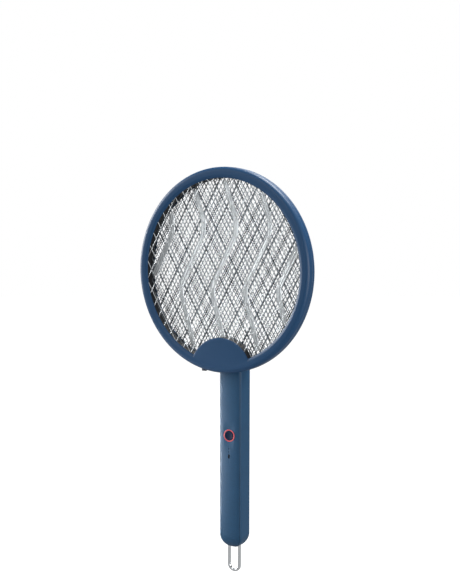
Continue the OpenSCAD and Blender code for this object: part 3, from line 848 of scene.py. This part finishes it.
class SWATTER_OT_handle(bpy.types.Operator):
    """Makes the handle's front cover and its deep rear shell"""

    bl_idname = "swatter.handle"
    bl_label = "Handle Shells"

    def execute(self, context):
        cover = half_shell("handle_cover", True)
        front = COVER_LOW.y - 2 * MM
        depth = 6 * MM
        light_r = (LIGHT_HIGH.x - LIGHT_LOW.x) / 2
        button_z = (LIGHT_HIGH.z + LIGHT_LOW.z) / 2
        hole = pillar((0, front, button_z), (0, 1, 0), light_r + 0.05 * MM, depth, 64)
        pill_middle = (0, LENS_LOW.z + 2.5 * MM)
        cutters = [hole, slot_cutter(pill_middle, 1.02 * MM, 2.52 * MM, front, front + depth)]
        for z in (LENS_HIGH.z - 0.6 * MM, LENS_HIGH.z - 4.3 * MM):
            cutters.append(pillar((0, front, z), (0, 1, 0), 0.62 * MM, depth, 20))
        combine(cover, cutters, "DIFFERENCE")
        soften(cover, 0.18 * MM, 50, 2)
        deliver(cover, "handle", "abs_handle", "handle_front", slot="handle_plastic", limit=28)

        rear = half_shell("handle_body", False)
        cutters = [port_block(1.75 * MM, 4.65 * MM, -20 * MM, -12 * MM)]
        leg = LOOP_HIGH.x - 2 * MM
        for x in (-leg, leg):
            cutters.append(pillar((x, 0, GRIP_LOW.z - 2 * MM), (0, 0, 1), 2.3 * MM, 14 * MM, 40))
        for x, z in handle_screw_places():
            cutters.append(
                pillar((x, GRIP_HIGH.y - 1.3 * MM, z), (0, 1, 0), SINK_R, 4 * MM, 32)
            )
        combine(rear, cutters, "DIFFERENCE")
        soften(rear, 0.18 * MM, 50, 2)
        deliver(rear, "handle", "abs_handle", "handle_rear", slot="handle_plastic", limit=28)
        return {"FINISHED"}


class SWATTER_OT_fold(bpy.types.Operator):
    """Makes the hinge barrel, the pin's caps and the release tab"""

    bl_idname = "swatter.fold"
    bl_label = "Fold"

    def execute(self, context):
        radius = BARREL_HIGH.z - FOLD_Z
        foot = GRIP_HIGH.z
        outline = arc((0, FOLD_Z), radius, 0, 180, 36) + [(-radius, foot), (radius, foot)]
        width = BARREL_HIGH.x - BARREL_LOW.x
        bm = prism(outline, lambda p: (BARREL_LOW.x, p[0], p[1]), (width, 0, 0))
        barrel = loose_object("hinge_barrel_body", bm)
        column = prism(handle_section(), lambda p: (p[0], p[1], foot - 5 * MM), (0, 0, 40 * MM))
        combine(barrel, [column], "INTERSECT")
        bore = pillar((BARREL_LOW.x - 5 * MM, 0, FOLD_Z), (1, 0, 0), 3.5 * MM, 50 * MM, 40)
        cutters = [bore]
        # The catch drops into these notches when the head stands up, folded or halfway.
        x0, x1 = -12.5 * MM, -5.5 * MM
        deep = radius - 1.5 * MM
        for low, high in (
            ((x0, -radius - 1 * MM, FOLD_Z - 3 * MM), (x1, -deep, FOLD_Z + 3 * MM)),
            ((x0, -3 * MM, FOLD_Z + deep), (x1, 3 * MM, FOLD_Z + radius + 1 * MM)),
            ((x0, deep, FOLD_Z - 3 * MM), (x1, radius + 1 * MM, FOLD_Z + 3 * MM)),
        ):
            cutters.append(brick(low, high))
        ring = [(5 * MM, 0), (7.5 * MM, 0), (7.5 * MM, 1.5 * MM), (5 * MM, 1.5 * MM)]
        for side in (-1, 1):
            end = (side * (BARREL_HIGH.x - 0.5 * MM), 0, FOLD_Z)
            cutters.append(lathe(ring, end, (side, 0, 0), 48))
        combine(barrel, cutters, "DIFFERENCE")
        soften(barrel, 0.35 * MM, 50, 2)
        # The tongue below the barrel lies hidden inside the shells.
        tongue = brick((-13 * MM, -10.8 * MM, BARREL_LOW.z), (13 * MM, 11 * MM, foot + 0.2 * MM))
        bmesh.ops.bevel(
            tongue, geom=tongue.edges[:], offset=0.8 * MM, segments=2, affect="EDGES",
            profile=0.5, material=-1,
        )
        combine(barrel, [tongue], "UNION")
        deliver(barrel, "handle", "abs_handle", "hinge_barrel", slot="handle_plastic", limit=28)

        thick, cap_r, edge = 1 * MM, 5.5 * MM, 0.35 * MM
        points = [(0, thick), (2.2 * MM, thick - 0.02 * MM)]
        points += arc((cap_r - edge, thick - edge), edge, 90, 0, 4) + [(cap_r, 0), (0, 0)]
        for side, name in ((-1, "pin_cap_left"), (1, "pin_cap_right")):
            bm = lathe(points, (side * (CAP_HIGH.x - thick), 0, FOLD_Z), (side, 0, 0), 56)
            cap = loose_object(name, bm)
            nick = brick(
                (side * (CAP_HIGH.x + 2 * MM), -0.5 * MM, FOLD_Z - 3 * MM),
                (side * (CAP_HIGH.x - 0.4 * MM), 0.5 * MM, FOLD_Z + 3 * MM),
            )
            combine(cap, [nick], "DIFFERENCE")
            replaced = ["hinge_caps"] if side < 0 else []
            deliver(cap, "head", "abs_ring", *replaced, slot="ring_plastic", limit=28)

        low, high = TAB_LOW, TAB_HIGH
        thumb = (low.x + 5.5 * MM, low.y + 3 * MM, FOLD_Z)
        tab = loose_object("release_slider", brick(low, thumb))
        bar = brick((low.x, low.y, FOLD_Z - 2.5 * MM), (high.x, low.y + 3 * MM, high.z))
        nose_low = (high.x - 6 * MM, low.y + 2 * MM, FOLD_Z - 2.5 * MM)
        nose = brick(nose_low, (high.x, high.y, high.z - 1 * MM))
        combine(tab, [bar, nose], "UNION")
        grooves = []
        for i in range(3):
            z = low.z + (0.9 + 1.1 * i) * MM
            corner = (low.x - 1 * MM, low.y + 2.7 * MM, z)
            grooves.append(brick(corner, (low.x + 7 * MM, low.y + 4 * MM, z + 0.5 * MM)))
        combine(tab, grooves, "DIFFERENCE")
        soften(tab, 0.25 * MM, 50, 2)
        # The slider's finish is painted darker, as painted shade.
        deliver(tab, "release", "abs_tab", "release_tab", slot="tab_plastic")
        return {"FINISHED"}


class SWATTER_OT_controls(bpy.types.Operator):
    """Makes the button cap, the lit ring round it and the charging port"""

    bl_idname = "swatter.controls"
    bl_label = "Controls"

    def execute(self, context):
        centre_z = (BUTTON_LOW.z + BUTTON_HIGH.z) / 2
        radius = (BUTTON_HIGH.x - BUTTON_LOW.x) / 2
        face = BUTTON_LOW.y
        edge = 0.5 * MM
        # Heights run into the handle from the cap's rim; the middle is dished for the fingertip.
        dish = [(0, 0.55), (1.5, 0.5), (3, 0.33), (4.3, 0.1), (4.9, 0)]
        points = [(r * MM, h * MM) for r, h in dish] + arc((radius - edge, edge), edge, -90, 0, 5)
        skirt, stem, foot = 2.7 * MM, 2 * MM, BUTTON_HIGH.y - face
        points += [(radius, skirt), (stem, skirt), (stem, foot), (0, foot)]
        cap = loose_object("power_button", lathe(points, (0, face, centre_z), (0, 1, 0), 72))
        deliver(cap, "button", "abs_button", "button_cap", slot="button_plastic", limit=40)

        outer = (LIGHT_HIGH.x - LIGHT_LOW.x) / 2
        inner = radius + 0.3 * MM
        bead = (outer - inner) / 2
        depth = LIGHT_HIGH.y - LIGHT_LOW.y
        step_r, step_y = outer - 0.4 * MM, 1.9 * MM
        points = [(inner, depth), (inner, bead)] + arc((inner + bead, bead), bead, 180, 360, 10)
        points += [(outer, step_y), (step_r, step_y), (step_r, depth)]
        bm = lathe(points, (0, LIGHT_LOW.y, centre_z), (0, 1, 0), 72)
        ring = loose_object("button_light", bm)
        deliver(ring, "handle", "red_polycarbonate", "light_ring", slot="light_red", limit=40)

        mouth = PORT_LOW.x
        shell = loose_object("charging_socket", port_block(1.6 * MM, 4.5 * MM, mouth, PORT_HIGH.x))
        hollow = port_block(1.3 * MM, 4.2 * MM, mouth - 1 * MM, PORT_HIGH.x - 1.2 * MM)
        combine(shell, [hollow], "DIFFERENCE")
        y = (PORT_LOW.y + PORT_HIGH.y) / 2
        z = (PORT_LOW.z + PORT_HIGH.z) / 2
        thick, wide = 0.35 * MM, 3.3 * MM
        low = (mouth + 0.7 * MM, y - thick, z - wide)
        tongue = brick(low, (PORT_HIGH.x - 1 * MM, y + thick, z + wide))
        deliver(shell, "handle", "turned_steel", "charge_port", slot="steel", limit=30)
        tongue = loose_object("socket_tongue", tongue)
        deliver(tongue, "handle", "black_nylon", slot="black_insulator")
        return {"FINISHED"}


def pan_screw(name, places, face_y, body, node):
    """Small pan-head screws with a cross recess, whose heads face backwards."""
    screws = bmesh.new()
    points = [(0, 0), (1.2, -0.04), (1.8, -0.2), (2.2, -0.55)]
    points += [(2.2, -1), (1.25, -1), (1.25, -7), (0, -7)]
    points = [(r * MM, h * MM) for r, h in points]
    for x, z in places:
        one = loose_object("screw", lathe(points, (x, face_y, z), (0, 1, 0), 40))
        arms = []
        for w, h in ((0.32 * MM, 1.25 * MM), (1.25 * MM, 0.32 * MM)):
            low = (x - w, face_y - 0.75 * MM, z - h)
            arms.append(brick(low, (x + w, face_y + 1 * MM, z + h)))
        combine(one, arms, "DIFFERENCE")
        screws.from_mesh(one.data)
        bpy.data.objects.remove(one)
    made = loose_object(name, screws)
    deliver(made, body, "turned_steel", node, slot="steel", limit=35)


class SWATTER_OT_fasteners(bpy.types.Operator):
    """Makes the screws in the head's back and in the handle's back"""

    bl_idname = "swatter.fasteners"
    bl_label = "Fasteners"

    def execute(self, context):
        places = head_screw_places()
        pan_screw("head_screw_set", places, BACK_Y - 0.1 * MM, "head", "head_screws")
        places = handle_screw_places()
        pan_screw("handle_screw_set", places, GRIP_HIGH.y - 0.3 * MM, "handle", "handle_screws")
        return {"FINISHED"}


class SWATTER_OT_loop(bpy.types.Operator):
    """Makes the bent wire loop that the swatter hangs by"""

    bl_idname = "swatter.loop"
    bl_label = "Hanging Loop"

    def execute(self, context):
        wire = (LOOP_HIGH.y - LOOP_LOW.y) / 2
        leg = LOOP_HIGH.x - wire
        bend_z = LOOP_LOW.z + leg + wire
        bm = bmesh.new()
        start = Matrix.Translation((-leg, 0, LOOP_HIGH.z))
        circle = bmesh.ops.create_circle(
            bm, cap_ends=False, segments=32, radius=wire, matrix=start
        )
        edges = list({e for v in circle["verts"] for e in v.link_edges})
        verts, edges = draw_on(bm, edges)
        bmesh.ops.translate(bm, verts=verts, vec=(0, 0, bend_z - LOOP_HIGH.z))
        turned = bmesh.ops.spin(
            bm, geom=verts + edges, cent=(0, 0, bend_z), axis=(0, -1, 0), angle=math.pi,
            steps=48, use_duplicate=False,
        )["geom_last"]
        verts, edges = draw_on(bm, [e for e in turned if isinstance(e, bmesh.types.BMEdge)])
        bmesh.ops.translate(bm, verts=verts, vec=(0, 0, LOOP_HIGH.z - bend_z))
        bmesh.ops.holes_fill(bm, edges=bm.edges, sides=64)
        loop = loose_object("hanging_loop_wire", bm)
        deliver(loop, "loop", "chrome_plate", "hanging_loop", slot="loop_chrome", limit=50)
        return {"FINISHED"}


# ---------------------------------------------------------------- frame parts and stage

CAD_FINISHES = {
    "black_nylon": [
        "front_spacer", "rear_spacer", "tact_switch", "battery_cradle", "loop_guide", "hv_diodes",
    ],
    "turned_steel": ["hinge_pin", "release_spring", "battery_contacts", "loop_stops"],
    "rolled_brass": ["net_tabs", "ear_contacts", "barrel_contacts", "hinge_bushes"],
    "red_silicone": ["head_leads", "handle_leads"],
    "white_polycarbonate": ["switch_plunger", "status_leds"],
    "smoked_polycarbonate": ["indicator_lens"],
    "circuit_laminate": ["circuit_board"],
    "tape_winding": ["hv_transformer"],
    "capacitor_film": ["hv_capacitor"],
    "cell_film": ["battery_cell"],
}


class SWATTER_OT_frame_finishes(bpy.types.Operator):
    """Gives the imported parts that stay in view, or show when it is opened, their own materials"""

    bl_idname = "swatter.frame_finishes"
    bl_label = "Frame Finishes"

    def execute(self, context):
        for material, nodes in CAD_FINISHES.items():
            for node in nodes:
                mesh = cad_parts[node].data
                mesh.materials.clear()
                mesh.materials.append(finish_of(material))
        return {"FINISHED"}


def soft_box(name, place, aim, size, power):
    """A white square softbox at place that faces aim."""
    lamp = bpy.data.lights.new(name, "AREA")
    lamp.size = size
    lamp.energy = power
    obj = bpy.data.objects.new(name, lamp)
    obj.location = place
    obj.rotation_euler = (Vector(aim) - Vector(place)).to_track_quat("-Z", "Y").to_euler()
    bpy.context.scene.collection.objects.link(obj)
    return obj


def studio_world(light, seen):
    """A pale surround: light is what it casts on the object, seen is how bright it looks."""
    world = bpy.data.worlds.new("studio")
    world.use_nodes = True
    tree = world.node_tree
    tree.nodes.clear()
    ray = add(tree, "ShaderNodeLightPath").outputs["Is Camera Ray"]
    cast = add(tree, "ShaderNodeBackground", {"Color": (1, 1, 1, 1), "Strength": light})
    back = add(tree, "ShaderNodeBackground", {"Color": (1, 1, 1, 1), "Strength": seen})
    mix = add(tree, "ShaderNodeMixShader", {0: ray, 1: cast.outputs[0], 2: back.outputs[0]})
    add(tree, "ShaderNodeOutputWorld", {"Surface": mix.outputs[0]})
    bpy.context.scene.world = world


class SWATTER_OT_stage(bpy.types.Operator):
    """Makes the pale floor, the soft lights and the camera"""

    bl_idname = "swatter.stage"
    bl_label = "Stage"

    def execute(self, context):
        scene = context.scene
        scene.view_settings.view_transform = "Standard"
        bm = bmesh.new()
        bmesh.ops.create_circle(bm, cap_ends=True, segments=96, radius=6)
        bmesh.ops.translate(bm, verts=bm.verts, vec=(0, 0, LOOP_LOW.z - 60 * MM))
        floor = loose_object("floor", bm)
        material, tree, shader, place = blank_material("white_paper_sweep")
        # Coated paper: plain white with a faint cloudiness.
        noise = {"Vector": place, "Scale": 1 / (20 * MM), "Detail": 2.0}
        cloud = add(tree, "ShaderNodeTexNoise", noise).outputs["Fac"]
        grey = (0.14, 0.14, 0.14)
        ends = {"Factor": cloud, "A": scaled(grey, 0.97), "B": scaled(grey, 1.03)}
        paper = add(tree, "ShaderNodeMix", ends, data_type="RGBA").outputs["Result"]
        # The light path makes the sweep look white and show pale in the chrome, while it lights
        # nothing else.
        ray = add(tree, "ShaderNodeLightPath").outputs
        pale = {0: ray["Is Glossy Ray"], 1: 0.2, 2: ray["Is Camera Ray"]}
        glow = add(tree, "ShaderNodeMath", pale, operation="MULTIPLY_ADD").outputs["Value"]
        fill(shader, {"Base Color": paper, "Roughness": 0.9})
        fill(shader, {"Emission Color": (1, 1, 1, 1), "Emission Strength": glow})
        floor.data.materials.append(material)
        studio_world(0.18, 1.0)
        middle = Vector((0, MIDDLE_Y, (CAD_BOX[0][2] + CAD_BOX[1][2]) / 2))
        # Each softbox has its place from the middle and its side in metres, and its power in watts.
        for name, place, side, power in (
            ("key_left", (-1.5, -0.28, 0.45), 0.8, 24),
            ("top_back", (0.2, 0.45, 1.3), 0.75, 24),
            ("front", (-0.3, -1.7, 0.9), 1.2, 6.5),
            ("fill_right", (1.5, -0.5, 0.1), 1.0, 14),
            ("behind", (-0.5, 1.6, 0.6), 1.2, 8),
        ):
            soft_box(name, middle + Vector(place), middle, side, power)
        grip = Vector((0, 0, (GRIP_LOW.z + GRIP_HIGH.z) / 2))
        strip = soft_box("grip_left", grip + Vector((-0.6, -0.2, -0.1)), grip, 0.12, 0.11)
        strip.data.spread = math.radians(30)

        # Yaw and pitch in degrees, distance in metres, and a lens for a 36 mm wide long side.
        yaw, pitch, distance = math.radians(31.46), math.radians(7.36), 1.2
        level = math.cos(pitch)
        away = Vector((math.sin(yaw) * level, -math.cos(yaw) * level, math.sin(pitch)))
        aim = Vector((0, MIDDLE_Y, LOOP_LOW.z + 0.259))
        lens = bpy.data.cameras.new("camera")
        lens.lens = 63.77
        lens.shift_x = 0.0109
        lens.shift_y = 0.1157
        camera = bpy.data.objects.new("camera", lens)
        camera.location = aim + away * distance
        camera.rotation_euler = away.to_track_quat("Z", "Y").to_euler()
        scene.collection.objects.link(camera)
        scene.camera = camera
        return {"FINISHED"}


class SWATTER_PT_panel(bpy.types.Panel):
    """Lists the build steps, sizes and colours"""

    bl_idname = "SWATTER_PT_panel"
    bl_label = "Electric Fly Swatter"
    bl_space_type = "VIEW_3D"
    bl_region_type = "UI"
    bl_category = "Swatter"

    def draw(self, context):
        column = self.layout.column(align=True)
        for step in STEPS:
            column.operator(step.bl_idname)
        for group in (sizes(), tones()):
            box = self.layout.box()
            for name in group.bl_rna.properties.keys():
                if name not in ("rna_type", "name"):
                    box.prop(group, name)


STEPS = (
    SWATTER_OT_stage,
    SWATTER_OT_rings,
    SWATTER_OT_nets,
    SWATTER_OT_handle,
    SWATTER_OT_fold,
    SWATTER_OT_controls,
    SWATTER_OT_fasteners,
    SWATTER_OT_loop,
    SWATTER_OT_frame_finishes,
)
CLASSES = (SwatterSizes, SwatterColours, *STEPS, SWATTER_PT_panel)


def register():
    """Registers every class, and puts the two property groups on the scene."""
    for cls in CLASSES:
        bpy.utils.register_class(cls)
    setattr(bpy.types.Scene, SIZES, bpy.props.PointerProperty(type=SwatterSizes))
    setattr(bpy.types.Scene, COLOURS, bpy.props.PointerProperty(type=SwatterColours))


def unregister():
    """Takes the property groups and the classes away again."""
    delattr(bpy.types.Scene, SIZES)
    delattr(bpy.types.Scene, COLOURS)
    for cls in reversed(CLASSES):
        bpy.utils.unregister_class(cls)


def main():
    register()
    for step in STEPS:
        group, name = step.bl_idname.split(".")
        getattr(getattr(bpy.ops, group), name)()


if __name__ == "__main__":
    main()
